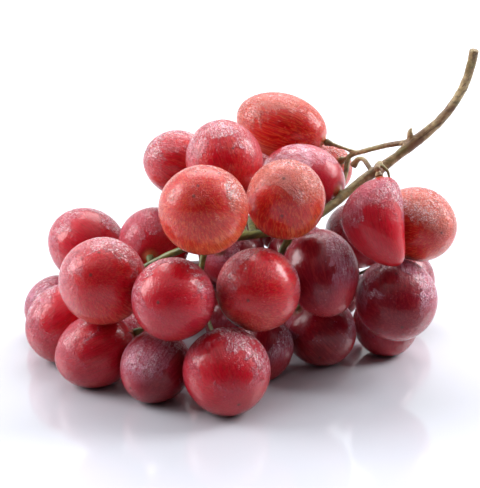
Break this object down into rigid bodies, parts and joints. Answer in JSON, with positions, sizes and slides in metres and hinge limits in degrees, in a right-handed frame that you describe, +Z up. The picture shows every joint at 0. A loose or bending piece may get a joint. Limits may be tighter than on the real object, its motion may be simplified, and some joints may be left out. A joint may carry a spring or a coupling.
{
  "type": "bunch of grapes",
  "caption": "Bunch of red table grapes lying on its side: oval glossy berries hang on short stalks from a branching brown stem that ends in a raised, cut tip.",
  "frame": {"origin": "middle of the bunch's box, on the surface it rests on", "axes": "+X along the bunch towards the cut stem, +Y to its back, +Z up"},
  "size_m": [0.1422, 0.1088, 0.0955],
  "materials": {
    "skin_maroon": "dark maroon grape skin, glossy under a thin violet bloom",
    "skin_crimson": "crimson grape skin, glossy with a patchy pale bloom",
    "skin_mauve": "mauve-pink grape skin with a heavier bloom",
    "skin_pink": "pink-red grape skin, glossy with a patchy pale bloom",
    "skin_orange": "translucent red-orange grape skin, glossy with fine lengthwise streaks",
    "stem_bark": "dry olive-brown stem, greener towards the berries"
  },
  "bodies": {
    "root": {"berry_01": "skin_orange", "berry_02": "skin_orange", "berry_03": "skin_orange", "berry_04": "skin_maroon", "berry_05": "skin_maroon", "berry_06": "skin_maroon", "berry_07": "skin_maroon", "berry_08": "skin_maroon", "berry_09": "skin_crimson", "berry_10": "skin_mauve", "berry_11": "skin_maroon", "berry_12": "skin_orange", "berry_13": "skin_orange", "berry_14": "skin_pink", "berry_15": "skin_pink", "berry_16": "skin_crimson", "berry_17": "skin_maroon", "berry_18": "skin_maroon", "berry_19": "skin_pink", "berry_20": "skin_maroon", "berry_21": "skin_crimson", "berry_22": "skin_crimson", "berry_23": "skin_maroon", "berry_24": "skin_crimson", "berry_25": "skin_crimson", "berry_26": "skin_maroon", "berry_27": "skin_pink", "berry_28": "skin_crimson", "berry_29": "skin_maroon", "berry_30": "skin_maroon", "berry_31": "skin_crimson", "berry_32": "skin_maroon", "berry_33": "skin_crimson", "berry_34": "skin_maroon", "berry_35": "skin_crimson", "berry_36": "skin_maroon", "berry_37": "skin_crimson", "berry_38": "skin_maroon", "berry_39": "skin_crimson", "stem": "stem_bark"}
  },
  "joints": []
}
